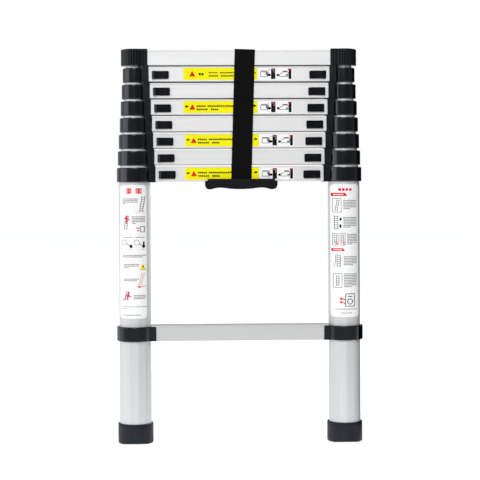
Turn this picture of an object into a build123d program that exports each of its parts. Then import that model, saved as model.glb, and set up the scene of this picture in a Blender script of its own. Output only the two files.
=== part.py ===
from build123d import *
import os

# A telescoping ladder, pushed closed: eight nested pairs of aluminium tubes, nine rungs,
# a thumb latch at each end of seven of them, rubber feet, a webbing strap and a carrying grip.
#
# Millimetres. +Z is up, +X runs across the ladder, and -Y is the side that the latches face.
# The origin is on the floor, midway between the two feet.
#
# The parts of one side are drawn about their tube's axis, with +X pointing at the rungs,
# then set in place on the left and mirrored to the right.

# ---- driving dimensions ----
SPACING = 398.0             # from tube axis to tube axis
SECTIONS = 8                # nested tube pairs, 1 is the outermost
BASE_RADIUS = 30.0          # outer radius of the outermost tube
RADIUS_STEP = 2.0           # each tube's radius is this much less than the one around it
TUBE_WALL = 1.4
STACK_BASE = 493.6          # underside of the first collar
STACK_PITCH = 31.4          # from one collar to the next while closed
RUNG_SPACING = 300.0        # from rung to rung while extended
TRAVEL = RUNG_SPACING - STACK_PITCH
RUNNING_GAP = 0.3           # between faces that move past each other
FIT_GAP = 0.1               # between faces that are fixed together

# collars
COLLAR_HEIGHT = 27.4
COLLAR_WALL = 3.9
CLAMP_WALL = 5.2            # the bottom rung's collars are thicker
COLLAR_EDGE = 1.8           # rounding of the collar's rims
LIP_HEIGHT = 3.3            # guide lip above the tube's end
SOCKET_BACK = 4.5           # socket block, from this far inside the tube's surface ...
SOCKET_FRONT = 10.3         # ... to this far outside it
SOCKET_HALF_DEPTH = 21.5
SOCKET_HEIGHT = STACK_PITCH - RUNNING_GAP
SOCKET_FLOOR = 1.4          # plastic left between the tube and the rung's end
SOCKET_EDGE = 2.5
SOCKET_SHOULDER = 2.0       # chamfer where the block comes out of the ring

# latch mechanism, measured inward from the tube's surface
TONGUE_WALL = 1.8
TONGUE_END = 69.0
CAVITY_START = 4.0
CAVITY_END = 66.0
PIN_RADIUS = 4.0
PIN_HEIGHT = COLLAR_HEIGHT / 2
LATCH_STROKE = 8.0
BUTTON_START = 16.4
BUTTON_LENGTH = 32.0
BUTTON_HEIGHT = 14.7
BUTTON_THICKNESS = 2.5
BUTTON_CENTRE = BUTTON_START + BUTTON_LENGTH / 2
LIP_LENGTH = 7.0
LIP_RISE = 2.8
LIP_FOOT = 0.3              # how far the lip stands up at its outer end, where its ramp starts
LIP_RAMP = 4.8              # length of the ramp that faces outward
NECK_LENGTH = 10.0
NECK_HEIGHT = 8.0
CARRIAGE_LENGTH = 24.0
CARRIAGE_HALF_DEPTH = 14.0
CARRIAGE_HALF_HEIGHT = 8.0
PIN_SEAT = 6.0              # depth that the pin is pressed into the carriage
SPRING_RADIUS = 5.2
SPRING_WIRE = 1.2           # side of the square wire
SPRING_TURNS = 6
SPRING_GUIDE_RADIUS = 3.2

# rungs
RUNG_DEPTH = 40.0
RUNG_HEIGHT = 28.4
RUNG_LIFT = 1.2             # a stacked rung sits this far above the foot of its collar
RUNG_WALL = 1.5
RUNG_EDGE = 1.0
TREAD_GROOVES = 9
TREAD_GROOVE_PITCH = 3.6
TREAD_GROOVE_SIZE = 1.0
FACE_LINE_DROP = 2.6        # fine line along the faces, below the tread
BOTTOM_RUNG_BASE = STACK_BASE - RUNG_SPACING

# top caps
CAP_BASE = STACK_BASE + STACK_PITCH * (SECTIONS - 1)
CAP_HEIGHT = 31.8
CAP_RADIUS = 25.0
CAP_FLUTES = 32
CAP_FLUTE_RADIUS = 2.2
CAP_FLUTE_DEPTH = 1.1
CAP_BLOCK_FLUTES = (14.6, 19.4, 24.2)   # flutes on the block's faces, from the tube's axis
CAP_BLOCK_FLUTE_DEPTH = 0.8
CAP_EDGE = 2.2
CAP_ROOF = 4.0
TOP_RUNG_BASE = CAP_BASE + 0.5

# feet
FOOT_RADIUS = 33.4
FOOT_HEIGHT = 38.0
FOOT_FLOOR = 6.0
FOOT_SOLE_HALF = 22.0       # the sole is flat this far to the front and back ...
FOOT_SOLE_ANGLE = 12.0      # ... and rises at this angle beyond
FOOT_EDGE = 2.2
FOOT_LINES = (32.4, 34.8)
FOOT_LINE_WIDTH = 0.8
FOOT_LINE_DEPTH = 0.6
TREAD_SLOT_DEPTH = 1.6
TREAD_SLOT_WIDTH = 2.4

# guide bushes at the foot of each inner tube
BUSH_FLANGE = 8.0
BUSH_SPIGOT = 15.0
BUSH_WALL = 2.4
HOLE_RISE = 30.0            # lock hole above the tube's foot

# strap and carrying grip
STRAP_WIDTH = 38.4
STRAP_THICKNESS = 1.5
STRAP_CENTRE = 6.9
STRAP_LEAN = 1.8            # degrees, its top leans to the right
STRAP_BEND = 2.8            # cut across the loop's lower corners
STRAP_RISE = 0.7            # from the top rung up to the loop
GRIP_CENTRE = 3.0
GRIP_HALF_LENGTH = 68.6
GRIP_HALF_DEPTH = 25.5
GRIP_TOP = STACK_BASE + 5.6
GRIP_NOTCH = 5.0
GRIP_NOTCH_DROP = 4.2
GRIP_UNDERSIDE = (          # from the grip's middle outward, and down from the stack: bulge, waist, knob
    (0.0, 13.8),
    (20.0, 13.0),
    (37.5, 11.0),
    (50.0, 12.2),
    (60.0, 14.2),
    (65.0, 12.6),
    (67.6, 9.0),
)
GRIP_SHOULDER = 5.0         # height of the flat ends above the underside's curve
STRAP_SLOT = (-17.4, 23.8)  # slots in the grip that the strap goes down through ...
STRAP_SLOT_HALF_DEPTH = 22.4
STRAP_SLOT_FLOOR = STACK_BASE - 7.9
SADDLE_UNDERSIDE = STACK_BASE - 4.2     # ... and the saddle between them, which it passes under
SADDLE_CHAMFER = 3.3
GRIP_EDGE = 3.0


# ---- positions worked out from the dimensions ----
def radius(section):
    return BASE_RADIUS - RADIUS_STEP * (section - 1)


def collar_base(section):
    return STACK_BASE + STACK_PITCH * (section - 1)


def lock_hole(section):
    """Height of an inner tube's lock hole, which meets the pin of the section below at full travel."""
    return collar_base(section - 1) + PIN_HEIGHT - TRAVEL


def tube_foot(section):
    if section == 1:
        return FOOT_FLOOR
    return lock_hole(section) - HOLE_RISE


def tube_head(section):
    if section == SECTIONS:
        return CAP_BASE + CAP_HEIGHT - CAP_ROOF - FIT_GAP
    return collar_base(section) + COLLAR_HEIGHT - LIP_HEIGHT


# ---- simple solids ----
def upright(r, low, high):
    """A cylinder about the Z axis."""
    return Pos(0, 0, low) * Cylinder(r, high - low, align=(Align.CENTER, Align.CENTER, Align.MIN))


def crossways(r, start, end, height):
    """A cylinder along X, at a height on the Z axis."""
    rod = Cylinder(r, end - start, align=(Align.CENTER, Align.CENTER, Align.MIN))
    return Pos(start, 0, height) * Rot(0, 90, 0) * rod


def brick(x, y, z):
    """A box from three (low, high) pairs."""
    corner = Pos(x[0], y[0], z[0])
    return corner * Box(x[1] - x[0], y[1] - y[0], z[1] - z[0], align=(Align.MIN, Align.MIN, Align.MIN))


def rims(solid, heights):
    """The outermost circular edges of a turned solid, at the heights given."""
    circles = solid.edges().filter_by(GeomType.CIRCLE)
    return [edge for edge in circles if any(abs(edge.center().Z - z) < 0.01 for z in heights)]


# ---- placing and writing ----
def left(solid, base=0.0):
    return Pos(-SPACING / 2, 0, base) * solid


def right(solid, base=0.0):
    return mirror(left(solid, base), about=Plane.YZ)


def write(name, *solids):
    shape = solids[0] if len(solids) == 1 else Compound(children=list(solids))
    export_step(shape, f"parts/{name}.step")


# ---- tubes, bushes and feet ----
def tube(section):
    """One round tube, with a lock hole near its foot and a pin hole near its head, both facing the rung."""
    r = radius(section)
    low = tube_foot(section)
    body = upright(r, low, tube_head(section)) - upright(r - TUBE_WALL, low, tube_head(section))
    hole_radius = PIN_RADIUS + RUNNING_GAP
    if section > 1:
        body -= crossways(hole_radius, 0, r + 1, lock_hole(section))
    if section < SECTIONS:
        body -= crossways(hole_radius, 0, r + 1, collar_base(section) + PIN_HEIGHT)
    return body


def bush(section):
    """Nylon bush plugged into a tube's foot, whose flange runs in the tube around it."""
    foot = tube_foot(section)
    spigot = radius(section) - TUBE_WALL - FIT_GAP
    body = upright(radius(section) + RUNNING_GAP, foot - BUSH_FLANGE, foot)
    body += upright(spigot, foot, foot + BUSH_SPIGOT)
    return body - upright(spigot - BUSH_WALL, foot - BUSH_FLANGE, foot + BUSH_SPIGOT)


def foot():
    """Rubber shoe: a cup over the tube's end, its sole flat in the middle and raised to front and back."""
    body = upright(FOOT_RADIUS, 0, FOOT_HEIGHT)
    body = fillet(rims(body, (0, FOOT_HEIGHT)), FOOT_EDGE)
    body -= upright(BASE_RADIUS + FIT_GAP, FOOT_FLOOR, FOOT_HEIGHT)
    for low in FOOT_LINES:
        high = low + FOOT_LINE_WIDTH
        body -= upright(FOOT_RADIUS + 1, low, high) - upright(FOOT_RADIUS - FOOT_LINE_DEPTH, low, high)
    reach = 2 * FOOT_RADIUS
    for turn in (0, 180):
        wedge = Rot(FOOT_SOLE_ANGLE, 0, 0) * brick((-reach, reach), (0, reach), (-reach, 0))
        body -= Rot(0, 0, turn) * Pos(0, FOOT_SOLE_HALF, 0) * wedge
    for offset in (-15, -5, 5, 15):
        slot = (offset - TREAD_SLOT_WIDTH / 2, offset + TREAD_SLOT_WIDTH / 2)
        body -= brick((-reach, reach), slot, (0, TREAD_SLOT_DEPTH))
    return body


# ---- collars ----
def socket_block(r, height):
    """Upright block on a collar's inner side, which the rung's end goes into."""
    half = SOCKET_HALF_DEPTH
    body = brick((r - SOCKET_BACK, r + SOCKET_FRONT), (-half, half), (0, height))
    top_corner = body.edges().filter_by(Axis.Y).sort_by(Axis.Z)[-2:].sort_by(Axis.X)[-1]
    body = fillet(top_corner, SOCKET_EDGE)
    shoulders = body.edges().filter_by(Axis.Z).group_by(Axis.X)[0]
    return chamfer(shoulders, SOCKET_SHOULDER)


def rung_pocket(r, base=0.0):
    half = RUNG_DEPTH / 2 + FIT_GAP
    return brick((r + SOCKET_FLOOR, r + SOCKET_FRONT + 1), (-half, half), (-1, base + RUNG_HEIGHT + FIT_GAP))


def tongue(r, length, base=0.0):
    """Plastic tongue that fills the rung's end, solid here and hollowed later where it holds a latch."""
    inset = RUNG_WALL + FIT_GAP
    half = RUNG_DEPTH / 2 - inset
    height = (base + inset, base + RUNG_HEIGHT - inset)
    return brick((r + SOCKET_FLOOR - 0.5, r + length), (-half, half), height)


def plain_collar(section, tongue_length, height, wall=COLLAR_WALL, lift=0.0):
    """Ring, rung socket and tongue, bored for its own tube."""
    r = radius(section)
    ring = upright(r + wall, 0, COLLAR_HEIGHT)
    ring = fillet(rims(ring, (0, COLLAR_HEIGHT)), COLLAR_EDGE)
    body = ring + socket_block(r, height) - rung_pocket(r, lift) + tongue(r, tongue_length, lift)
    return body - upright(r + FIT_GAP, -1, height + 1)


def latch_collar(section):
    """A collar with a guide lip over its tube's end, a latch chamber in its tongue and a pin bore."""
    r = radius(section)
    body = plain_collar(section, TONGUE_END, SOCKET_HEIGHT, lift=RUNG_LIFT)
    lip_low = COLLAR_HEIGHT - LIP_HEIGHT
    body += upright(r + SOCKET_FLOOR / 2, lip_low, COLLAR_HEIGHT)
    body -= upright(radius(section + 1) + RUNNING_GAP, lip_low - 1, SOCKET_HEIGHT + 1)
    inset = RUNG_WALL + FIT_GAP + TONGUE_WALL
    half = RUNG_DEPTH / 2 - inset
    height = (RUNG_LIFT + inset, RUNG_LIFT + RUNG_HEIGHT - inset)
    body -= brick((r + CAVITY_START, r + CAVITY_END), (-half, half), height)
    body -= crossways(PIN_RADIUS + RUNNING_GAP, r - 2, r + CAVITY_START + 1, PIN_HEIGHT)
    return body - neck_slot(r)


def neck_slot(r):
    """The way that a latch's neck takes through the front of the tongue and of the rung."""
    start = r + BUTTON_CENTRE - NECK_LENGTH / 2 - RUNNING_GAP
    end = r + BUTTON_CENTRE + NECK_LENGTH / 2 + LATCH_STROKE + RUNNING_GAP
    half = NECK_HEIGHT / 2 + RUNNING_GAP
    return brick((start, end), (-RUNG_DEPTH, -CARRIAGE_HALF_DEPTH), (PIN_HEIGHT - half, PIN_HEIGHT + half))


def top_cap():
    """Fluted cap that closes the innermost tube and holds the top rung's end."""
    r = radius(SECTIONS)
    body = upright(CAP_RADIUS, 0, CAP_HEIGHT)
    body = fillet(rims(body, (0, CAP_HEIGHT)), CAP_EDGE)
    cutter = upright(CAP_FLUTE_RADIUS, -1, CAP_HEIGHT + 1)
    out = CAP_FLUTE_RADIUS - CAP_FLUTE_DEPTH
    for flute in range(CAP_FLUTES):
        angle = 360 * (flute + 0.5) / CAP_FLUTES
        body -= Rot(0, 0, angle) * Pos(CAP_RADIUS + out, 0, 0) * cutter
    lift = TOP_RUNG_BASE - CAP_BASE
    body += socket_block(r, CAP_HEIGHT)
    out = CAP_FLUTE_RADIUS - CAP_BLOCK_FLUTE_DEPTH
    for across in CAP_BLOCK_FLUTES:
        for side in (-1, 1):
            body -= Pos(across, side * (SOCKET_HALF_DEPTH + out), 0) * cutter
    body -= rung_pocket(r, lift)
    body += tongue(r, TONGUE_END / 2, lift)
    return body - upright(r + FIT_GAP, -1, CAP_HEIGHT - CAP_ROOF)


# ---- rungs ----
def rung_profile():
    """Hollow section with a grooved tread and a fine line along each face, in the YZ plane."""
    outside = fillet(Rectangle(RUNG_DEPTH, RUNG_HEIGHT).vertices(), RUNG_EDGE)
    inside = Rectangle(RUNG_DEPTH - 2 * RUNG_WALL, RUNG_HEIGHT - 2 * RUNG_WALL)
    profile = outside - inside
    for groove in range(TREAD_GROOVES):
        offset = TREAD_GROOVE_PITCH * (groove - (TREAD_GROOVES - 1) / 2)
        profile -= Pos(offset, RUNG_HEIGHT / 2) * Rectangle(TREAD_GROOVE_SIZE, TREAD_GROOVE_SIZE, rotation=45)
    for side in (-1, 1):
        line = Rectangle(0.6, 0.6, rotation=45)
        profile -= Pos(side * RUNG_DEPTH / 2, RUNG_HEIGHT / 2 - FACE_LINE_DROP) * line
    return profile


def rung(section):
    half_length = SPACING / 2 - radius(section) - SOCKET_FLOOR - FIT_GAP
    return extrude(Plane.YZ * rung_profile(), half_length, both=True).moved(Location((0, 0, RUNG_HEIGHT / 2)))


def latched_rung(section):
    slot = left(neck_slot(radius(section)))
    return Pos(0, 0, RUNG_LIFT) * rung(section) - slot - mirror(slot, about=Plane.YZ)


# ---- latches ----
def button(r):
    """Thumb plate on the rung's face, with a raised lip that slopes outward at its outer end, and fine ribs."""
    start = r + BUTTON_START
    end = start + BUTTON_LENGTH
    back = -RUNG_DEPTH / 2 - RUNNING_GAP
    face = back - BUTTON_THICKNESS
    low = PIN_HEIGHT - BUTTON_HEIGHT / 2
    high = PIN_HEIGHT + BUTTON_HEIGHT / 2
    plate = brick((start, end), (face, back), (low, high))
    plate = fillet(plate.edges().filter_by(Axis.Y).group_by(Axis.X)[-1], 2.5)
    lip_outline = Polyline(
        (start, face + 0.5),
        (start, face - LIP_FOOT),
        (start + LIP_RAMP, face - LIP_RISE),
        (start + LIP_LENGTH - 1.6, face - LIP_RISE),
        (start + LIP_LENGTH, face + 0.5),
        close=True,
    )
    lip = Pos(0, 0, low) * extrude(make_face(lip_outline), BUTTON_HEIGHT)
    plate += lip
    for rib in (-4.2, -1.4, 1.4, 4.2):
        height = PIN_HEIGHT + rib
        plate += brick((start + LIP_LENGTH + 2, end - 3), (face - 0.5, face), (height - 0.5, height + 0.5))
    return plate


def slider(section):
    """Button, neck and carriage in one moulding, bored for the lock pin."""
    r = radius(section)
    centre = r + BUTTON_CENTRE
    neck_x = (centre - NECK_LENGTH / 2, centre + NECK_LENGTH / 2)
    neck_z = (PIN_HEIGHT - NECK_HEIGHT / 2, PIN_HEIGHT + NECK_HEIGHT / 2)
    back = -RUNG_DEPTH / 2 - RUNNING_GAP
    carriage_x = (centre - CARRIAGE_LENGTH / 2, centre + CARRIAGE_LENGTH / 2)
    half = CARRIAGE_HALF_DEPTH
    carriage_z = (PIN_HEIGHT - CARRIAGE_HALF_HEIGHT, PIN_HEIGHT + CARRIAGE_HALF_HEIGHT)
    body = button(r)
    body += brick(neck_x, (back - 1, -half + 1), neck_z)
    body += brick(carriage_x, (-half, half), carriage_z)
    body += crossways(SPRING_GUIDE_RADIUS, carriage_x[1] - 1, carriage_x[1] + LATCH_STROKE, PIN_HEIGHT)
    return body - crossways(PIN_RADIUS, carriage_x[0] - 1, carriage_x[0] + PIN_SEAT, PIN_HEIGHT)


def lock_pin(section):
    """Steel pin from the carriage to just short of the next tube's wall."""
    r = radius(section)
    tip = radius(section + 1) + RUNNING_GAP
    return crossways(PIN_RADIUS, tip, r + BUTTON_CENTRE - CARRIAGE_LENGTH / 2 + PIN_SEAT, PIN_HEIGHT)


def spring(section):
    """Square-wire coil spring between the carriage and the end of the latch chamber."""
    r = radius(section)
    clear = SPRING_WIRE / 2 + 0.3
    start = r + BUTTON_CENTRE + CARRIAGE_LENGTH / 2 + clear
    length = r + CAVITY_END - clear - start
    path = Helix(length / SPRING_TURNS, length, SPRING_RADIUS)
    wire = Plane(origin=path @ 0, z_dir=path % 0) * Rectangle(SPRING_WIRE, SPRING_WIRE)
    coil = sweep(wire, path=path, is_frenet=True)
    return Pos(start, 0, PIN_HEIGHT) * Rot(0, 90, 0) * coil


# ---- strap and carrying grip ----
def grip():
    """Moulded grip that clips up around the first collar's rung, with a dog-bone underside."""
    top = GRIP_TOP
    shoulder = GRIP_TOP - GRIP_NOTCH_DROP
    corner = shoulder - GRIP_SHOULDER
    end = GRIP_HALF_LENGTH
    step = end - GRIP_NOTCH
    right_half = [(across, STACK_BASE - drop) for across, drop in GRIP_UNDERSIDE]
    left_half = [(-across, z) for across, z in reversed(right_half[1:])]
    underside = Spline((-end, corner), *left_half, *right_half, (end, corner))
    upper = Polyline(
        (end, corner),
        (end, shoulder),
        (step, shoulder),
        (step, top),
        (-step, top),
        (-step, shoulder),
        (-end, shoulder),
        (-end, corner),
    )
    outline = Plane.XZ * make_face(underside + upper)
    body = Pos(GRIP_CENTRE, 0, 0) * extrude(outline, GRIP_HALF_DEPTH, both=True)
    lower_edges = body.edges().filter_by(GeomType.BSPLINE)
    body = fillet(lower_edges, GRIP_EDGE)
    half = RUNG_DEPTH / 2 + RUNNING_GAP
    seat = STACK_BASE - RUNNING_GAP
    reach = 2 * GRIP_HALF_LENGTH
    body -= brick((-reach, reach), (-half, half), (seat, top + 1))
    return body - strap_slots(seat)


def strap_slots(seat):
    """The way through the grip for the strap: down in front, under the saddle and up behind."""
    half = STRAP_SLOT_HALF_DEPTH
    slots = brick(STRAP_SLOT, (-half, half), (STRAP_SLOT_FLOOR, GRIP_TOP + 1))
    saddle = brick(STRAP_SLOT, (-RUNG_DEPTH / 2, RUNG_DEPTH / 2), (SADDLE_UNDERSIDE, seat))
    corners = saddle.edges().filter_by(Axis.X).group_by(Axis.Z)[0]
    return slots - chamfer(corners, SADDLE_CHAMFER)


def strap():
    """Webbing loop over the top rung and under the grip, pulled straight between them."""
    half = RUNG_DEPTH / 2 + 0.5
    rung_top = TOP_RUNG_BASE + RUNG_HEIGHT + STRAP_RISE
    under = SADDLE_UNDERSIDE - 1.1
    inner = make_face(Polyline(
        (-half, rung_top),
        (half, rung_top),
        (half, under + STRAP_BEND),
        (half - STRAP_BEND, under),
        (-half + STRAP_BEND, under),
        (-half, under + STRAP_BEND),
        close=True,
    ))
    band = offset(inner, STRAP_THICKNESS, kind=Kind.ARC) - inner
    loop = extrude(Plane.YZ * band, STRAP_WIDTH / 2, both=True)
    middle = (rung_top + under) / 2
    return Pos(STRAP_CENTRE, 0, middle) * Rot(0, STRAP_LEAN, 0) * Pos(0, 0, -middle) * loop


# ---- the whole ladder ----
def write_base():
    write("foot_left", left(foot()))
    write("foot_right", right(foot()))
    write("tube_1_left", left(tube(1)))
    write("tube_1_right", right(tube(1)))
    clamp = plain_collar(1, TONGUE_END / 2, COLLAR_HEIGHT, CLAMP_WALL)
    write("bottom_clamps", left(clamp, BOTTOM_RUNG_BASE), right(clamp, BOTTOM_RUNG_BASE))
    write("bottom_rung", Pos(0, 0, BOTTOM_RUNG_BASE) * rung(1))


def write_latched_level(section):
    base = collar_base(section)
    collar = latch_collar(section)
    write(f"collars_{section}", left(collar, base), right(collar, base))
    write(f"rung_{section}", Pos(0, 0, base) * latched_rung(section))
    latch = (slider(section), lock_pin(section))
    write(f"latch_{section}_left", *[left(piece, base) for piece in latch])
    write(f"latch_{section}_right", *[right(piece, base) for piece in latch])
    coil = spring(section)
    write(f"springs_{section}", left(coil, base), right(coil, base))


def write_inner_tubes(section):
    write(f"tubes_{section}", left(tube(section)), right(tube(section)))
    write(f"bushes_{section}", left(bush(section)), right(bush(section)))


def write_top():
    cap = top_cap()
    write("top_cap_left", left(cap, CAP_BASE))
    write("top_cap_right", right(cap, CAP_BASE))
    write("top_rung", Pos(0, 0, TOP_RUNG_BASE) * rung(SECTIONS))
    write("strap", strap())
    write("carrying_grip", grip())


os.makedirs("parts", exist_ok=True)
write_base()
for level in range(1, SECTIONS):
    write_latched_level(level)
    write_inner_tubes(level + 1)
write_top()
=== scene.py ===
import math

import bmesh
import bpy
from mathutils import Matrix, Vector


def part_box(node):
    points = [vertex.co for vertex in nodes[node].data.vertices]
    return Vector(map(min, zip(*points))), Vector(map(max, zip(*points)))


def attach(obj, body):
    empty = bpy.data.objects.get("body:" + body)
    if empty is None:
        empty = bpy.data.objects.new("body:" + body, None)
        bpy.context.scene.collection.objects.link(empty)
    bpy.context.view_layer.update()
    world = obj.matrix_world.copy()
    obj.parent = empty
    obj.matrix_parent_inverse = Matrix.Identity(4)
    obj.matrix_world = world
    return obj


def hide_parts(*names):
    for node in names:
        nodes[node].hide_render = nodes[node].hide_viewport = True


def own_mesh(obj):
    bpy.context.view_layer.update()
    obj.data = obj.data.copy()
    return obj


# The looks of a closed telescoping ladder: satin aluminium, moulded plastic, rubber feet, a woven
# strap and printed labels. Metres, in the CAD frame. +Z is up and the latches face -Y.

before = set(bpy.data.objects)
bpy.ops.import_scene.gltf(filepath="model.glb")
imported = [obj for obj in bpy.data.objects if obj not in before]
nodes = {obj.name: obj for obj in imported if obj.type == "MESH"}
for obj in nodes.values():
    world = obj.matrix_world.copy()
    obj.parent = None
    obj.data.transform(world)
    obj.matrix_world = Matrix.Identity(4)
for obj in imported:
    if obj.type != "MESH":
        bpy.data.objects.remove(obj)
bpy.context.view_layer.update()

MM = 0.001
SECTIONS = 8


# ---- camera, lights and floor ----
CAMERA_PLACE = Vector((-0.0696, -2.435, 0.4736))
CAMERA_YAW = 0.029          # radians, turned towards +X
CAMERA_PITCH = -0.0036
CAMERA_ROLL = -0.0049
CAMERA_LENS = 95.9
CAMERA_SHIFT = -0.0896

AIM = Vector((0.0, 0.0, 0.42))      # what the lamps face
LAMPS = {
    # place, length of a side, power in watts
    "left": ((-2.8, -0.8, 0.9), 2.4, 22),
    "front": ((-0.3, -4.4, 2.9), 2.6, 150),
    "back": ((1.5, 1.9, 1.4), 1.6, 38),
}
CARD_PLACE = (0.315, 0.13, 0.42)
CARD_SIZE = (0.9, 0.30)             # height and depth
GLOW_LEVEL = 0.42
GLOW_LEAN = (-0.12, 0.23, 0.05)     # how much the glow gains along each axis
FLOOR_GLOW = 0.84           # behind and beside the ladder ...
FLOOR_GLOW_FRONT = 0.10     # ... and in front of it
FLOOR_FADE = (-0.7, -0.3)   # the depths between which it goes from one to the other


def add_camera():
    data = bpy.data.cameras.new("camera")
    data.lens = CAMERA_LENS
    data.shift_y = CAMERA_SHIFT
    camera = bpy.data.objects.new("camera", data)
    heading = Matrix.Rotation(-CAMERA_YAW, 4, "Z")
    tilt = Matrix.Rotation(math.pi / 2 + CAMERA_PITCH, 4, "X")
    roll = Matrix.Rotation(CAMERA_ROLL, 4, "Z")
    camera.matrix_world = Matrix.Translation(CAMERA_PLACE) @ heading @ tilt @ roll
    bpy.context.scene.collection.objects.link(camera)
    bpy.context.scene.camera = camera


def add_lamp(name, place, size, power):
    """A soft square lamp that faces the ladder."""
    data = bpy.data.lights.new(name, "AREA")
    data.shape = "SQUARE"
    data.size = size
    data.energy = power
    lamp = bpy.data.objects.new(name, data)
    lamp.location = place
    lamp.rotation_mode = "QUATERNION"
    lamp.rotation_quaternion = (AIM - lamp.location).to_track_quat("-Z", "Y")
    bpy.context.scene.collection.objects.link(lamp)


def add_world():
    """White to look at. As light it is a soft grey, brighter on the left, behind and above."""
    world = bpy.data.worlds.new("studio")
    world.use_nodes = True
    bpy.context.scene.world = world
    tree = world.node_tree
    tree.nodes.clear()
    seen = tree.nodes.new("ShaderNodeBackground")
    seen.inputs["Color"].default_value = (1, 1, 1, 1)
    seen.inputs["Strength"].default_value = 1.0
    direction = tree.nodes.new("ShaderNodeTexCoord")
    lean = tree.nodes.new("ShaderNodeVectorMath")
    lean.operation = "DOT_PRODUCT"
    lean.inputs[1].default_value = GLOW_LEAN
    level = tree.nodes.new("ShaderNodeMath")
    level.inputs[1].default_value = GLOW_LEVEL
    glow = tree.nodes.new("ShaderNodeBackground")
    glow.inputs["Color"].default_value = (0.94, 0.98, 1.04, 1)
    path = tree.nodes.new("ShaderNodeLightPath")
    mix = tree.nodes.new("ShaderNodeMixShader")
    output = tree.nodes.new("ShaderNodeOutputWorld")
    tree.links.new(direction.outputs["Generated"], lean.inputs[0])
    tree.links.new(lean.outputs["Value"], level.inputs[0])
    tree.links.new(level.outputs["Value"], glow.inputs["Strength"])
    tree.links.new(path.outputs["Is Camera Ray"], mix.inputs[0])
    tree.links.new(glow.outputs[0], mix.inputs[1])
    tree.links.new(seen.outputs[0], mix.inputs[2])
    tree.links.new(mix.outputs[0], output.inputs["Surface"])


def add_dark_card():
    """A dark card out of view behind and to the right, which the right-hand tube's edge mirrors."""
    bpy.ops.mesh.primitive_plane_add(size=1, location=CARD_PLACE, rotation=(0, math.pi / 2, 0))
    card = bpy.context.object
    card.name = "dark_card"
    card.scale = (*CARD_SIZE, 1)
    card.visible_camera = False
    material, shader, tree = new_material("card_black")
    shader.inputs["Base Color"].default_value = (0.01, 0.01, 0.01, 1)
    shader.inputs["Roughness"].default_value = 1.0
    card.data.materials.append(material)


def add_floor():
    """A pale floor, plain to look at. As light, it is darker in front of the ladder."""
    bpy.ops.mesh.primitive_plane_add(size=30, location=(0, 0, -0.0002))
    floor = bpy.context.object
    floor.name = "floor"
    material, shader, tree = new_material("floor_white")
    shader.inputs["Base Color"].default_value = (0.35, 0.35, 0.35, 1)
    shader.inputs["Roughness"].default_value = 1.0
    shader.inputs["Specular IOR Level"].default_value = 0.0
    shader.inputs["Emission Color"].default_value = (1, 1, 1, 1)
    place = tree.nodes.new("ShaderNodeTexCoord")
    axes = tree.nodes.new("ShaderNodeSeparateXYZ")
    fade = tree.nodes.new("ShaderNodeMapRange")
    fade.inputs["From Min"].default_value = FLOOR_FADE[0]
    fade.inputs["From Max"].default_value = FLOOR_FADE[1]
    fade.inputs["To Min"].default_value = FLOOR_GLOW_FRONT
    fade.inputs["To Max"].default_value = FLOOR_GLOW
    path = tree.nodes.new("ShaderNodeLightPath")
    seen = tree.nodes.new("ShaderNodeMix")
    seen.inputs["B"].default_value = FLOOR_GLOW
    tree.links.new(place.outputs["Object"], axes.inputs[0])
    tree.links.new(axes.outputs["Y"], fade.inputs["Value"])
    tree.links.new(path.outputs["Is Camera Ray"], seen.inputs["Factor"])
    tree.links.new(fade.outputs["Result"], seen.inputs["A"])
    tree.links.new(seen.outputs["Result"], shader.inputs["Emission Strength"])
    floor.data.materials.append(material)


# ---- materials ----
NOISE_SPREAD = (0.3, 0.7)               # nearly all of a noise texture's values lie between these
GLOSS_TINT = (0.82, 0.89, 1.0, 1)       # black plastics shine a little blue


def new_material(name):
    """A material, its Principled shader and its tree."""
    material = bpy.data.materials.new(name)
    material.use_nodes = True
    tree = material.node_tree
    return material, tree.nodes["Principled BSDF"], tree


def object_noise(tree, scale, stretch=(1, 1, 1), detail=3.0):
    """Noise in the object's own coordinates, drawn out along an axis where stretch is small."""
    place = tree.nodes.new("ShaderNodeTexCoord")
    mapping = tree.nodes.new("ShaderNodeMapping")
    mapping.inputs["Scale"].default_value = stretch
    noise = tree.nodes.new("ShaderNodeTexNoise")
    noise.inputs["Scale"].default_value = scale
    noise.inputs["Detail"].default_value = detail
    tree.links.new(place.outputs["Object"], mapping.inputs["Vector"])
    tree.links.new(mapping.outputs["Vector"], noise.inputs["Vector"])
    return noise.outputs["Fac"]


def ramp(tree, value, low, high):
    """Turns noise into a colour between low and high."""
    node = tree.nodes.new("ShaderNodeValToRGB")
    node.color_ramp.elements[0].position = NOISE_SPREAD[0]
    node.color_ramp.elements[1].position = NOISE_SPREAD[1]
    node.color_ramp.elements[0].color = (*low, 1)
    node.color_ramp.elements[1].color = (*high, 1)
    tree.links.new(value, node.inputs["Fac"])
    return node.outputs["Color"]


def between(tree, value, low, high):
    """Turns noise into a number between low and high."""
    node = tree.nodes.new("ShaderNodeMapRange")
    node.inputs["From Min"].default_value = NOISE_SPREAD[0]
    node.inputs["From Max"].default_value = NOISE_SPREAD[1]
    node.inputs["To Min"].default_value = low
    node.inputs["To Max"].default_value = high
    tree.links.new(value, node.inputs["Value"])
    return node.outputs["Result"]


def bump(tree, shader, value, strength, distance):
    node = tree.nodes.new("ShaderNodeBump")
    node.inputs["Strength"].default_value = strength
    node.inputs["Distance"].default_value = distance
    tree.links.new(value, node.inputs["Height"])
    tree.links.new(node.outputs["Normal"], shader.inputs["Normal"])


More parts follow.
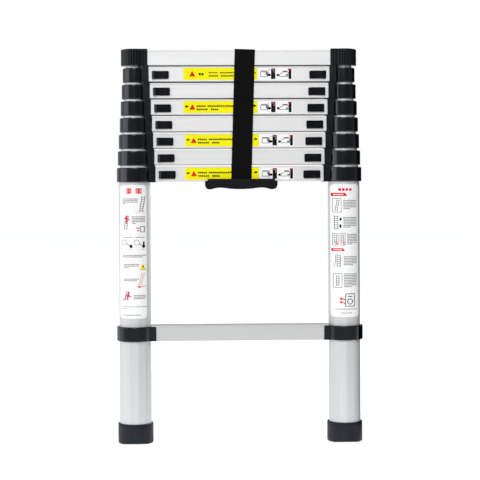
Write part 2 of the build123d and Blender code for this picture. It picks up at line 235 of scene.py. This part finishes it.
def paint_shade_on_tops(tree, colour, share):
    """The colour, times share on faces that look up: painted shade on the tops of the metal."""
    geometry = tree.nodes.new("ShaderNodeNewGeometry")
    axes = tree.nodes.new("ShaderNodeSeparateXYZ")
    facing = tree.nodes.new("ShaderNodeMapRange")
    facing.inputs["From Min"].default_value = 0.4
    facing.inputs["From Max"].default_value = 0.9
    painted_shade = tree.nodes.new("ShaderNodeMix")
    painted_shade.data_type = "RGBA"
    painted_shade.blend_type = "MULTIPLY"
    painted_shade.inputs["B"].default_value = (share, share, share, 1)
    tree.links.new(geometry.outputs["Normal"], axes.inputs[0])
    tree.links.new(axes.outputs["Z"], facing.inputs["Value"])
    tree.links.new(facing.outputs["Result"], painted_shade.inputs["Factor"])
    tree.links.new(colour, painted_shade.inputs["A"])
    return painted_shade.outputs["Result"]


def aluminium(name, along, tint, roughness, metallic, top_shade, streak):
    """Drawn aluminium with fine die lines and broader streaks along one axis."""
    material, shader, tree = new_material(name)
    stretch = [0.012 if axis == along else 1.0 for axis in "XYZ"]
    lines = object_noise(tree, 1400, stretch, 2.0)
    streaks = object_noise(tree, 150, stretch, 3.0)
    low = tuple(streak * c for c in tint)
    colour = ramp(tree, streaks, low, tint)
    # Faces that look up are darkened here: painted shade on the tops.
    if top_shade < 1:
        colour = paint_shade_on_tops(tree, colour, top_shade)
    tree.links.new(colour, shader.inputs["Base Color"])
    tree.links.new(between(tree, lines, roughness - 0.05, roughness + 0.07), shader.inputs["Roughness"])
    shader.inputs["Metallic"].default_value = metallic
    bump(tree, shader, lines, 0.12, 0.02 * MM)
    return material


def moulded(name, dark, light, roughness, grain, depth, gloss):
    """Moulded plastic or rubber with a fine grain and slightly rubbed patches."""
    material, shader, tree = new_material(name)
    rubbed = object_noise(tree, 70, detail=5.0)
    texture = object_noise(tree, grain, detail=1.0)
    tree.links.new(ramp(tree, rubbed, dark, light), shader.inputs["Base Color"])
    tree.links.new(between(tree, rubbed, 0.85 * roughness, 1.15 * roughness), shader.inputs["Roughness"])
    shader.inputs["Specular IOR Level"].default_value = gloss
    shader.inputs["Specular Tint"].default_value = GLOSS_TINT
    bump(tree, shader, texture, 0.35, depth)
    return material


def steel(name):
    material, shader, tree = new_material(name)
    marks = object_noise(tree, 600, (1, 0.05, 0.05))
    tree.links.new(ramp(tree, marks, (0.42, 0.43, 0.45), (0.55, 0.56, 0.58)), shader.inputs["Base Color"])
    tree.links.new(between(tree, marks, 0.22, 0.38), shader.inputs["Roughness"])
    shader.inputs["Metallic"].default_value = 1.0
    return material


def woven(name, dark, light):
    """Black webbing: weft picks across the ribs, a little fuzz, and threads that differ slightly."""
    material, shader, tree = new_material(name)
    place = tree.nodes.new("ShaderNodeTexCoord")
    picks = tree.nodes.new("ShaderNodeTexWave")
    picks.bands_direction = "Z"
    picks.inputs["Scale"].default_value = 260
    picks.inputs["Distortion"].default_value = 1.2
    picks.inputs["Detail Scale"].default_value = 40
    tree.links.new(place.outputs["Object"], picks.inputs["Vector"])
    threads = object_noise(tree, 700, (1, 1, 0.2))
    tree.links.new(ramp(tree, threads, dark, light), shader.inputs["Base Color"])
    tree.links.new(between(tree, threads, 0.62, 0.80), shader.inputs["Roughness"])
    shader.inputs["Specular IOR Level"].default_value = 0.06
    bump(tree, shader, picks.outputs["Fac"], 0.5, 0.10 * MM)
    return material


def printed(name, colour):
    """Ink or film on a label, slightly glossy and slightly uneven."""
    material, shader, tree = new_material(name)
    uneven = object_noise(tree, 300, detail=2.0)
    low = tuple(0.93 * c for c in colour)
    tree.links.new(ramp(tree, uneven, low, colour), shader.inputs["Base Color"])
    shader.inputs["Roughness"].default_value = 0.42
    shader.inputs["Specular IOR Level"].default_value = 0.10
    return material


METALS = {
    # the axis that it was drawn along, tint, roughness, metallic, share of the tint left on upward faces as
    # painted shade, share of it left in dark streaks
    "tube_aluminium": ("Z", (0.69, 0.70, 0.705), 0.5, 0.40, 1.0, 0.90),
    # Lighter than the tube aluminium: painted light, so that the shaded gaps between the collars read
    # bright.
    "inner_aluminium": ("Z", (0.80, 0.805, 0.81), 0.4, 0.40, 1.0, 0.92),
    "rung_aluminium": ("X", (0.735, 0.735, 0.73), 0.5, 0.45, 1.0, 0.965),
    # The bottom rung's copy of the rung aluminium: its darker tint and darker tops are both painted shade.
    "bottom_aluminium": ("X", (0.64, 0.64, 0.635), 0.5, 0.45, 0.86, 0.965),
}
PLASTICS = {
    # darkest and lightest colour, roughness, fineness of the grain, its depth, gloss
    "black_plastic": ((0.0010, 0.0011, 0.0014), (0.0020, 0.0021, 0.0026), 0.15, 2600, 0.015 * MM, 0.74),
    "cap_plastic": ((0.0008, 0.0008, 0.0010), (0.0016, 0.0016, 0.0020), 0.10, 2600, 0.004 * MM, 0.60),
    "latch_plastic": ((0.002, 0.002, 0.003), (0.004, 0.004, 0.005), 0.16, 3200, 0.015 * MM, 0.36),
    "grip_plastic": ((0.002, 0.002, 0.0025), (0.004, 0.004, 0.005), 0.50, 1500, 0.08 * MM, 0.16),
    "rubber": ((0.0045, 0.0060, 0.0085), (0.0085, 0.0110, 0.0145), 0.48, 2200, 0.08 * MM, 0.34),
    "nylon": ((0.72, 0.70, 0.64), (0.80, 0.78, 0.72), 0.45, 1800, 0.02 * MM, 0.30),
}


def add_materials():
    made = {name: aluminium(name, *values) for name, values in METALS.items()}
    made.update({name: moulded(name, *values) for name, values in PLASTICS.items()})
    made["spring_steel"] = steel("spring_steel")
    made["thread"] = printed("thread", (0.035, 0.035, 0.04))
    made["webbing"] = woven("webbing", (0.0022, 0.0022, 0.0026), (0.0050, 0.0050, 0.0058))
    return made


def dress(materials):
    """Gives every CAD node the material that its name calls for."""
    by_start = {
        "foot": "rubber",
        "tube_1": "tube_aluminium",
        "tubes": "inner_aluminium",
        "bottom_clamps": "cap_plastic",
        "bottom_rung": "bottom_aluminium",
        "top_rung": "rung_aluminium",
        "rung": "rung_aluminium",
        "collars": "black_plastic",
        "top_cap": "cap_plastic",
        "bushes": "nylon",
        "springs": "spring_steel",
        "latch": "latch_plastic",
        "carrying_grip": "grip_plastic",
        "strap": "webbing",
    }
    for name, node in nodes.items():
        start = next(start for start in by_start if name.startswith(start))
        node.data.materials.clear()
        node.data.materials.append(materials[by_start[start]])


# ---- springs ----
def add_springs(metal):
    """Each latch's spring as a piece of its own."""
    for number in range(1, SECTIONS):
        node = nodes[f"springs_{number}"]
        for side, sign in (("left", -1), ("right", 1)):
            mesh = bmesh.new()
            mesh.from_mesh(node.data)
            others = [vert for vert in mesh.verts if vert.co.x * sign < 0]
            bmesh.ops.delete(mesh, geom=others, context="VERTS")
            data = bpy.data.meshes.new(f"spring_{number}_{side}")
            mesh.to_mesh(data)
            mesh.free()
            data.materials.append(metal)
            piece = bpy.data.objects.new(data.name, data)
            bpy.context.scene.collection.objects.link(piece)
            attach(piece, "base" if number == 1 else f"section_{number}")
            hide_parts(node.name)
            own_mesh(piece)


# ---- printed labels ----
# A label is a thin film with shapes printed on it, all drawn flat and in millimetres: across, to the
# right, and up. A shape is an ink, a layer from 0 (the film) up, and an outline. Writing is left out:
# rows of plain blocks stand in for it, and plain figures stand in for the pictures.
FILM = 0.20                  # thickness of each shape
FILM_STAND = 0.14            # how far the film's face stands off the metal
INK_STAND = 0.05             # each layer's step above the one below
LABEL_RISE = 0.2 * MM        # a rung's label sits this far above its middle
RUNG_LABELS = ((7, 0.0), (5, 0.0), (3, 2.2), (1, 2.2))      # the rung, and its label's shift to the right
PANEL_DROP = 5.4 * MM        # from the stack's underside down to a tube's panel
PANEL_UP = (-251.0, 0.0)     # its bottom and top
PANEL_CORNER = 6.0           # radius of its corners
INKS = {
    "white": (1.0, 1.0, 0.99),
    "yellow": (1.0, 0.92, 0.001),
    "red": (0.80, 0.006, 0.010),
    "pink": (0.86, 0.30, 0.28),
    "grey": (0.16, 0.16, 0.17),
    "dark": (0.004, 0.004, 0.004),
}


def bar(ink, across, up, layer=1):
    (left, right), (low, high) = across, up
    return [(ink, layer, [(left, low), (right, low), (right, high), (left, high)])]


def stroke(ink, start, end, width, layer=1):
    """A straight line with square ends."""
    run = Vector(end) - Vector(start)
    side = Vector((-run.y, run.x)).normalized() * (width / 2)
    corners = [Vector(start) - side, Vector(end) - side, Vector(end) + side, Vector(start) + side]
    return [(ink, layer, [tuple(corner) for corner in corners])]


def round_points(centre, radii, steps):
    turns = [2 * math.pi * step / steps for step in range(steps)]
    return [(centre[0] + radii[0] * math.cos(t), centre[1] + radii[1] * math.sin(t)) for t in turns]


def oval(ink, centre, radii):
    return [(ink, 1, round_points(centre, radii, 20))]


def closed_line(ink, corners, width):
    """Strokes from each corner to the next, and back to the first."""
    shapes = []
    for near, far in zip(corners, corners[1:] + corners[:1]):
        shapes += stroke(ink, near, far, width)
    return shapes


def ring_line(ink, centre, radius, width):
    return closed_line(ink, round_points(centre, (radius, radius), 15), width)


def box_line(ink, across, up, width):
    (left, right), (low, high) = across, up
    return closed_line(ink, [(left, low), (right, low), (right, high), (left, high)], width)


def triangle(ink, across, up):
    (left, right), (low, high) = across, up
    return [(ink, 1, [(left, low), (right, low), ((left + right) / 2, high)])]


def arrow(ink, tail, tip, width, layer=1):
    """A straight arrow whose head is three times as wide as its shaft."""
    run = Vector(tip) - Vector(tail)
    head = Vector(tip) - run.normalized() * (2.4 * width)
    side = Vector((-run.y, run.x)).normalized() * (1.5 * width)
    shapes = stroke(ink, tail, tuple(head), width, layer)
    return shapes + [(ink, layer, [tuple(head - side), tuple(tip), tuple(head + side)])]


def blocks(ink, across, level, height, layer=1, pitch=0.0):
    """A row of small plain blocks where the real label has writing."""
    left, right = across
    pitch = pitch or 1.05 * height
    shapes = []
    for step in range(round((right - left) / pitch)):
        start = left + step * pitch
        trim = (0.0, 0.12, 0.04, 0.18, 0.08)[(step * 7) % 5] * height
        up = (level - height / 2, level + height / 2 - trim)
        shapes += bar(ink, (start, start + 0.74 * pitch), up, layer)
    return shapes


def paragraph(ink, across, top, rows, height=1.8, gap=3.0, last=0.5):
    """Rows of blocks downward from top, the last one short."""
    left, right = across
    shapes = []
    for row in range(rows):
        full = last if row == rows - 1 and rows > 1 else 1.0
        level = top - height / 2 - row * gap
        shapes += blocks(ink, (left, left + full * (right - left)), level, height, pitch=1.5)
    return shapes


def ladder_figure(ink, foot, head, width, rungs):
    """A leaning ladder: two rails and its rungs."""
    foot, head = Vector(foot), Vector(head)
    half = Vector((width / 2, 0))
    shapes = []
    for side in (-half, half):
        shapes += stroke(ink, tuple(foot + side), tuple(head + side), 0.9)
    for rung in range(rungs):
        middle = foot.lerp(head, (rung + 0.5) / rungs)
        shapes += stroke(ink, tuple(middle - half), tuple(middle + half), 0.8)
    return shapes


def rounded_film(ink, across, up, radius):
    """A film with rounded corners, as one outline."""
    (left, right), (low, high) = across, up
    centres = [(right - radius, high - radius), (left + radius, high - radius)]
    centres += [(left + radius, low + radius), (right - radius, low + radius)]
    points = []
    for corner, centre in enumerate(centres):
        for step in range(5):
            turn = math.radians(90 * corner + 22.5 * step)
            points.append((centre[0] + radius * math.cos(turn), centre[1] + radius * math.sin(turn)))
    return [(ink, 0, points)]


def lock_picture():
    """Two plain figures of a rung's end beside a dark post."""
    shapes = box_line("grey", (40.6, 54.5), (-5.2, 3.2), 1.0)
    shapes += stroke("dark", (40.8, 5.0), (53.5, 5.0), 1.3)
    shapes += bar("dark", (52.0, 57.0), (-4.2, -0.6)) + bar("grey", (50.0, 53.6), (-2.0, 2.8))
    shapes += bar("dark", (60.2, 68.4), (-10.0, 9.8))
    shapes += stroke("pink", (55.5, 7.6), (66.0, 7.6), 0.9, 2)
    shapes += stroke("pink", (55.5, 7.6), (55.5, -3.0), 0.9)
    shapes += stroke("pink", (66.0, 7.6), (66.0, 1.5), 0.9, 2)
    shapes += oval("dark", (57.6, -2.3), (2.4, 2.4)) + oval("dark", (73.3, -2.5), (2.4, 2.4))
    end = [(76.3, -5.0), (92.4, -5.0), (92.4, 3.4), (83.0, 3.4), (76.3, -1.4)]
    shapes += closed_line("grey", end, 1.1)
    shapes += stroke("dark", (82.0, 4.8), (91.0, 4.8), 1.3)
    shapes += bar("grey", (88.0, 92.0), (-3.6, -1.0))
    shapes += bar("dark", (93.4, 98.8), (-10.0, 9.8))
    return shapes + arrow("red", (99.2, 7.2), (91.2, 8.4), 1.3, 2)


def rung_label(titled):
    """A yellow strip with a white end. Titled is the top one, which has no arrows."""
    height = (-11.4, 11.4)
    shapes = bar("yellow", (-105.3, 34.7), height, 0) + bar("white", (34.7, 100.5), height, 0)
    shapes += triangle("red", (-94.4, -82.8), (-4.8, 5.6))
    if titled:
        shapes += blocks("dark", (-76.4, -65.6), -0.6, 4.6, pitch=5.2)
        shapes += blocks("dark", (-57.5, -40.0), 2.2, 2.3) + blocks("dark", (-36.5, 32.0), 2.2, 2.6)
        shapes += blocks("dark", (-57.5, -38.0), -3.8, 2.9) + blocks("dark", (-34.5, 30.0), -3.8, 2.9)
    else:
        shapes += arrow("dark", (-95.6, 1.2), (-103.2, 1.2), 1.9)
        shapes += arrow("dark", (24.6, 2.4), (32.4, 2.4), 2.0)
        shapes += blocks("dark", (-80.6, -63.5), 2.1, 3.4) + blocks("dark", (-60.0, 22.0), 2.1, 3.4)
        shapes += blocks("dark", (-80.6, -57.5), -4.2, 3.4) + blocks("dark", (-53.5, -39.0), -4.2, 3.4)
    return shapes + lock_picture()


def shifted(shapes, shift):
    """The shapes, moved to the right."""
    return [(ink, layer, [(across + shift, up) for across, up in line]) for ink, layer, line in shapes]


def left_panel():
    """Plain figures and rows of blocks down a white panel; up is measured from the panel's top."""
    shapes = rounded_film("white", (-27.4, 22.9), PANEL_UP, PANEL_CORNER)
    for across in ((-14.5, -4.5), (2.8, 14.3)):
        for row in range(3):
            shapes += bar("red", across, (-8.6 - 3.6 * row, -6.2 - 3.6 * row))
        middle = (across[0] + across[1]) / 2
        shapes += bar("red", (middle - 1.0, middle + 1.0), (-16.4, -6.0))
    shapes += paragraph("grey", (-21.5, 6.5), -25.0, 4, last=0.15)
    shapes += ladder_figure("dark", (13.0, -50.0), (17.5, -21.0), 5.5, 7)
    shapes += stroke("red", (3.0, -50.6), (20.0, -50.6), 0.6)
    shapes += ladder_figure("dark", (-16.5, -83.0), (-13.0, -57.0), 5.0, 6)
    shapes += stroke("red", (-19.5, -61.5), (-8.0, -65.0), 2.2, 2)
    shapes += stroke("red", (-14.5, -71.0), (-13.5, -57.0), 2.4, 3)
    shapes += stroke("pink", (-22.0, -84.0), (-8.0, -84.0), 0.6)
    shapes += paragraph("grey", (-4.0, 20.0), -58.5, 5, last=0.3)
    shapes += bar("red", (4.0, 10.0), (-82.0, -80.0)) + bar("red", (5.5, 10.0), (-86.5, -84.5))
    shapes += box_line("grey", (11.5, 19.0), (-88.0, -78.0), 1.4)
    for across in (-18.5, 5.0):
        shapes += ring_line("grey", (across, -108.0), 5.0, 0.8)
        shapes += stroke("pink", (across + 8, -121.0), (across + 14, -121.0), 1.0)
        shapes += stroke("grey", (across - 3.0, -98.0), (across + 14.0, -98.0), 1.1)
        shapes += oval("dark", (across + 12.5, -115.0), (2.7, 3.4))
        shapes += stroke("grey", (across + 5, -110.0), (across + 11, -115.0), 1.2)
    shapes += bar("dark", (16.0, 19.0), (-115.0, -106.0))
    shapes += paragraph("grey", (-21.5, 22.0), -131.0, 2, last=0.85)
    shapes += paragraph("grey", (-19.5, 8.5), -148.0, 3, last=0.3)
    shapes += triangle("yellow", (10.0, 21.5), (-158.0, -147.5))
    shapes += bar("red", (14.5, 17.5), (-155.0, -151.0), 2)
    shapes += stroke("grey", (10.0, -158.6), (21.5, -158.6), 0.9, 2)
    shapes += paragraph("grey", (-20.0, 8.0), -175.5, 2, last=0.9)
    shapes += ladder_figure("pink", (9.0, -192.0), (16.5, -165.0), 4.5, 7)
    shapes += stroke("red", (6.0, -192.4), (22.0, -190.0), 0.8)
    shapes += bar("red", (6.5, 12.0), (-192.6, -189.6))
    shapes += ladder_figure("dark", (-15.5, -217.0), (-12.0, -199.0), 5.5, 4)
    shapes += stroke("grey", (-21.5, -217.0), (-15.0, -209.0), 1.4)
    shapes += stroke("red", (-17.5, -206.0), (-6.0, -209.5), 2.2, 2)
    shapes += stroke("red", (-13.0, -214.5), (-11.5, -201.5), 2.4, 3)
    shapes += paragraph("grey", (-1.5, 21.0), -206.5, 3, last=0.95)
    shapes += paragraph("grey", (-21.5, 23.0), -228.0, 2, height=1.3, gap=3.6, last=0.2)
    shapes += paragraph("grey", (-22.0, 12.0), -243.5, 1, height=1.7)
    return shapes


def right_panel():
    """The other white panel, drawn the same way."""
    shapes = rounded_film("white", (-27.2, 25.5), PANEL_UP, PANEL_CORNER)
    shapes += blocks("red", (-13.0, 13.5), -10.0, 5.2, pitch=6.7)
    shapes += [("red", 1, [(-26.0, -22.4), (3.5, -22.4), (-0.5, -16.4), (-26.0, -16.4)])]
    shapes += blocks("white", (-22.0, -4.0), -19.4, 2.0, 2)
    shapes += box_line("grey", (-23.0, -8.0), (-53.0, -27.0), 0.9)
    shapes += ladder_figure("grey", (-17.0, -51.0), (-13.5, -29.0), 4.0, 5)
    shapes += paragraph("grey", (-4.0, 22.0), -30.0, 6, last=0.5)
    shapes += ladder_figure("dark", (-17.0, -86.0), (-17.0, -59.0), 6.0, 7)
    shapes += oval("dark", (-9.0, -66.0), (1.9, 3.2)) + oval("dark", (-9.4, -79.0), (1.9, 3.6))
    shapes += paragraph("grey", (-4.0, 22.0), -62.0, 7, last=0.6)
    for across in (-18.5, -5.5):
        shapes += box_line("grey", (across - 4.8, across + 4.8), (-115.0, -93.0), 0.9)
        shapes += ladder_figure("grey", (across, -112.0), (across, -95.0), 4.0, 4)
        shapes += bar("pink", (across, across + 3.6), (-114.0, -108.0), 2)
    shapes += paragraph("grey", (3.0, 23.0), -94.0, 7, last=0.5)
    shapes += [("red", 1, [(-25.5, -126.4), (-1.5, -126.4), (-4.5, -121.0), (-25.5, -121.0)])]
    shapes += blocks("white", (-22.0, -6.5), -123.7, 1.9, 2)
    shapes += ladder_figure("dark", (-12.8, -156.0), (-12.8, -132.0), 6.0, 6)
    shapes += stroke("grey", (-18.5, -150.0), (-18.5, -134.0), 1.0)
    shapes += stroke("pink", (-21.0, -158.0), (-21.0, -150.0), 1.6)
    shapes += paragraph("grey", (-3.5, 22.0), -136.0, 6, last=0.7)
    shapes += box_line("grey", (-22.5, -7.0), (-195.0, -169.0), 0.9)
    shapes += ladder_figure("dark", (-14.8, -192.0), (-14.8, -172.0), 4.6, 5)
    shapes += paragraph("grey", (-3.5, 22.0), -168.5, 9, last=0.6)
    shapes += arrow("red", (-1.5, -217.6), (-12.3, -215.6), 2.0)
    shapes += arrow("red", (-1.5, -225.0), (-12.0, -221.6), 2.0)
    shapes += box_line("grey", (-0.4, 16.6), (-230.5, -207.0), 1.6)
    shapes += ring_line("dark", (8.1, -221.5), 5.0, 1.5)
    shapes += stroke("dark", (4.0, -212.0), (12.4, -212.0), 1.6)
    shapes += paragraph("grey", (-19.0, 22.0), -235.0, 1, height=1.6)
    shapes += paragraph("grey", (-9.0, 12.0), -242.4, 1, height=1.6)
    return shapes


def winding(outline):
    """Positive where an outline runs anticlockwise."""
    turns = zip(outline, outline[1:] + outline[:1])
    return sum(a[0] * b[1] - b[0] * a[1] for a, b in turns)


def add_label(name, body, shapes, inks, place, cuts=()):
    """Cuts each flat shape along upright lines, lays it where place says and gives it a thickness."""
    names = list(inks)
    mesh = bmesh.new()
    for ink, layer, outline in shapes:
        stand = FILM_STAND + INK_STAND * layer
        if winding(outline) < 0:
            outline = outline[::-1]
        corners = [mesh.verts.new((across * MM, -stand * MM, up * MM)) for across, up in outline]
        mesh.faces.new(corners).material_index = names.index(ink)
    for cut in cuts:
        whole = mesh.verts[:] + mesh.edges[:] + mesh.faces[:]
        bmesh.ops.bisect_plane(mesh, geom=whole, plane_co=(cut, 0, 0), plane_no=(1, 0, 0), dist=1e-7)
    for vert in mesh.verts:
        vert.co = place(*vert.co)
    data = bpy.data.meshes.new(name)
    mesh.to_mesh(data)
    mesh.free()
    for ink in names:
        data.materials.append(inks[ink])
    piece = bpy.data.objects.new(name, data)
    bpy.context.scene.collection.objects.link(piece)
    film = piece.modifiers.new("film", "SOLIDIFY")
    film.thickness = FILM * MM
    film.offset = -1
    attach(piece, body)


def add_rung_labels(inks):
    for number, shift in RUNG_LABELS:
        low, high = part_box(f"rung_{number}")
        face = low.y
        middle = (low.z + high.z) / 2 + LABEL_RISE
        body = "base" if number == 1 else f"section_{number}"
        shapes = shifted(rung_label(number == 7), shift)
        add_label(f"label_rung_{number}", body, shapes, inks,
                  lambda x, y, z, face=face, middle=middle: (x, face + y, middle + z))


def add_tube_labels(inks):
    """The panels, cut every 3 degrees so that their flat shapes can bend round the tubes."""
    for side, shapes in (("left", left_panel()), ("right", right_panel())):
        low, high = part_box(f"tube_1_{side}")
        axis = (low.x + high.x) / 2
        radius = (high.x - low.x) / 2
        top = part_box("collars_1")[0].z - PANEL_DROP
        cuts = [radius * math.sin(math.radians(turn)) for turn in range(-66, 67, 3)]

        def wrap(x, y, z, axis=axis, radius=radius, top=top):
            turn = math.asin(x / radius)
            reach = radius - y
            return (axis + reach * math.sin(turn), -reach * math.cos(turn), top + z)

        add_label(f"label_tube_{side}", "base", shapes, inks, wrap, cuts)


# ---- strap ----
STRAP_WIDTH = 38.4 * MM
STRAP_THICKNESS = 1.5 * MM
STRAP_EDGE = 0.8 * MM        # its faces round off this far from its edges
STRAP_RIBS = 19
STRAP_GROOVE = 0.10 * MM     # depth between its ribs
STRAP_CENTRE = 6.9 * MM      # how far it hangs to the right of the middle
STRAP_LEAN = math.radians(1.8)
STRAP_GAP = 0.5 * MM         # between its inside and the rungs' front and back
TOP_GAP = 0.7 * MM           # between its inside and the top rung
STRAP_BEND = 3.2 * MM        # radius of its middle at the corners
SADDLE_DROP = 6.05 * MM      # from the stack's underside down to the strap's middle below the grip's saddle
STRAP_ROW = 3.0 * MM         # spacing of the mesh's rows along the strap
STRAP_LAP = 63 * MM          # how far the strap's end overlaps at the back ...
LAP_DROP = 60 * MM           # ... and how far below the top of the loop it starts
LAP_GAP = 0.15 * MM          # between the overlap and the loop
STITCH_PITCH = 3.2 * MM
STITCH_RADIUS = 0.35 * MM
STITCH_MARGIN = 3.0 * MM     # from the webbing's edges and ends to the stitches
STITCH_BOX = 16 * MM         # height of each box of stitches


def round_corners(corners, radius):
    """The corners of a closed outline, each turned into an arc."""
    path = []
    for index, corner in enumerate(corners):
        before = (corners[index - 1] - corner).normalized()
        after = (corners[(index + 1) % len(corners)] - corner).normalized()
        half = before.angle(after) / 2
        if half > math.radians(85):
            path.append(corner)
            continue
        centre = corner + (before + after).normalized() * (radius / math.sin(half))
        start = corner + before * (radius / math.tan(half)) - centre
        end = corner + after * (radius / math.tan(half)) - centre
        for step in range(7):
            path.append(centre + (start * (6 - step) + end * step).normalized() * radius)
    return path


def even_rows(path, spacing):
    """Adds points on long runs so that no two are much further apart than spacing."""
    rows = []
    for near, far in zip(path, path[1:] + path[:1]):
        count = max(1, round((far - near).length / spacing))
        rows += [near.lerp(far, step / count) for step in range(count)]
    return rows


def strap_loop():
    """The middle of the webbing, across the rungs: over the top rung and through the grip's slots."""
    rung_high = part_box("top_rung")[1]
    half = rung_high.y + STRAP_GAP + STRAP_THICKNESS / 2
    top = rung_high.z + TOP_GAP + STRAP_THICKNESS / 2
    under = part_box("collars_1")[0].z - SADDLE_DROP
    corners = [Vector(corner) for corner in ((half, top), (half, under), (-half, under), (-half, top))]
    return even_rows(round_corners(corners, STRAP_BEND), STRAP_ROW)


def strap_section(width, thickness, ribs):
    """Across and outward for each point round the webbing's section: ribbed faces and rounded edges."""
    rib = width / ribs
    face = []
    for step in range(ribs * 3 + 1):
        across = -width / 2 + step * rib / 3
        groove = STRAP_GROOVE if step % 3 == 0 else 0.0
        edge = max(0.0, abs(across) - width / 2 + STRAP_EDGE) / STRAP_EDGE
        face.append((across, thickness / 2 - groove - 0.45 * thickness * edge ** 2))
    under = [(across, -out) for across, out in reversed(face)]
    return face + under


def sweep(rows, section, closed):
    """The section carried along rows of (place, outward) in the plane across the rungs."""
    mesh = bmesh.new()
    rings = []
    for place, outward in rows:
        ring = []
        for across, out in section:
            flat = place + outward * out
            ring.append(mesh.verts.new((across, flat.x, flat.y)))
        rings.append(ring)
    pairs = list(zip(rings, rings[1:]))
    if closed:
        pairs.append((rings[-1], rings[0]))
    else:
        mesh.faces.new(rings[0])
        mesh.faces.new(rings[-1][::-1])
    for near, far in pairs:
        for index in range(len(section)):
            after = (index + 1) % len(section)
            mesh.faces.new((near[index], near[after], far[after], far[index]))
    bmesh.ops.recalc_face_normals(mesh, faces=mesh.faces[:])
    return mesh


def outward_rows(path, closed):
    """Pairs each point of an anticlockwise path with the direction that faces out of it."""
    rows = []
    for index, place in enumerate(path):
        before = path[index - 1] if closed or index else place
        after = path[(index + 1) % len(path)] if closed or index + 1 < len(path) else place
        run = (after - before).normalized()
        rows.append((place, Vector((run.y, -run.x))))
    return rows


def strap_lap(path):
    """The strap's end, which overlaps the loop at the back: its middle, from the top down."""
    half = max(point.x for point in path) + STRAP_THICKNESS + LAP_GAP
    top = max(point.y for point in path) - LAP_DROP
    steps = round(STRAP_LAP / STRAP_ROW)
    return [Vector((half, top - STRAP_LAP * step / steps)) for step in range(steps, -1, -1)]


def add_stitches(lap, thread):
    """Rows of raised stitches in a box round each end of the overlap."""
    mesh = bmesh.new()
    out = lap[0].x + STRAP_THICKNESS / 2 + 0.05 * MM
    side = STRAP_WIDTH / 2 - STITCH_MARGIN
    for low in (lap[0].y + STITCH_MARGIN, lap[-1].y - STITCH_MARGIN - STITCH_BOX):
        high = low + STITCH_BOX
        for level in (low, high):
            add_stitch_row(mesh, Vector((-side, level)), Vector((side, level)), out)
        for across in (-side, side):
            add_stitch_row(mesh, Vector((across, low)), Vector((across, high)), out)
    lean_onto_strap(mesh, sum(strap_ends()) / 2)
    return mesh_piece("strap_stitching", mesh, thread)


def add_stitch_row(mesh, start, end, out):
    """Small rounded bars end to end between two places on the strap's back."""
    count = round((end - start).length / STITCH_PITCH)
    run = (end - start).normalized()
    turn = Matrix.Rotation(math.atan2(run.y, run.x), 4, "Y").inverted()
    size = Matrix.Diagonal((0.40 * STITCH_PITCH, STITCH_RADIUS, STITCH_RADIUS, 1))
    for step in range(count):
        middle = start.lerp(end, (step + 0.5) / count)
        place = Matrix.Translation((middle.x, out, middle.y))
        bmesh.ops.create_icosphere(mesh, subdivisions=2, radius=1, matrix=place @ turn @ size)


def strap_ends():
    """The heights of the loop's top and bottom."""
    heights = [point.y for point in strap_loop()]
    return min(heights), max(heights)


def lean_onto_strap(mesh, middle):
    """Tilts and shifts a mesh made at x = 0 as the strap is."""
    lean = Matrix.Rotation(STRAP_LEAN, 4, "Y")
    there = Matrix.Translation((STRAP_CENTRE, 0, middle))
    back = Matrix.Translation((0, 0, -middle))
    bmesh.ops.transform(mesh, matrix=there @ lean @ back, verts=mesh.verts[:])


def mesh_piece(name, mesh, material):
    """Turns a mesh into a smooth piece that rides with the strap."""
    for face in mesh.faces:
        face.smooth = True
    data = bpy.data.meshes.new(name)
    mesh.to_mesh(data)
    mesh.free()
    data.materials.append(material)
    piece = bpy.data.objects.new(name, data)
    bpy.context.scene.collection.objects.link(piece)
    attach(piece, "section_8")
    return piece


def add_strap(webbing, thread):
    """The webbing loop, its overlapping end at the back and the stitching that holds it."""
    path = strap_loop()
    middle = sum(strap_ends()) / 2
    section = strap_section(STRAP_WIDTH, STRAP_THICKNESS, STRAP_RIBS)
    loop = sweep(outward_rows(path, True), section, True)
    lean_onto_strap(loop, middle)
    strap = mesh_piece("strap_webbing", loop, webbing)
    lap_path = strap_lap(path)
    lap = sweep(outward_rows(lap_path, False), section, False)
    lean_onto_strap(lap, middle)
    end = mesh_piece("strap_lap", lap, webbing)
    stitching = add_stitches(lap_path, thread)
    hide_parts("strap")


add_camera()
add_world()
for name, values in LAMPS.items():
    add_lamp(name, *values)
add_floor()
add_dark_card()
materials = add_materials()
dress(materials)
add_springs(materials["spring_steel"])
inks = {name: printed(f"ink_{name}", colour) for name, colour in INKS.items()}
add_rung_labels(inks)
add_tube_labels(inks)
add_strap(materials["webbing"], materials["thread"])

scene = bpy.context.scene
scene.view_settings.view_transform = "Standard"
scene.view_settings.look = "None"
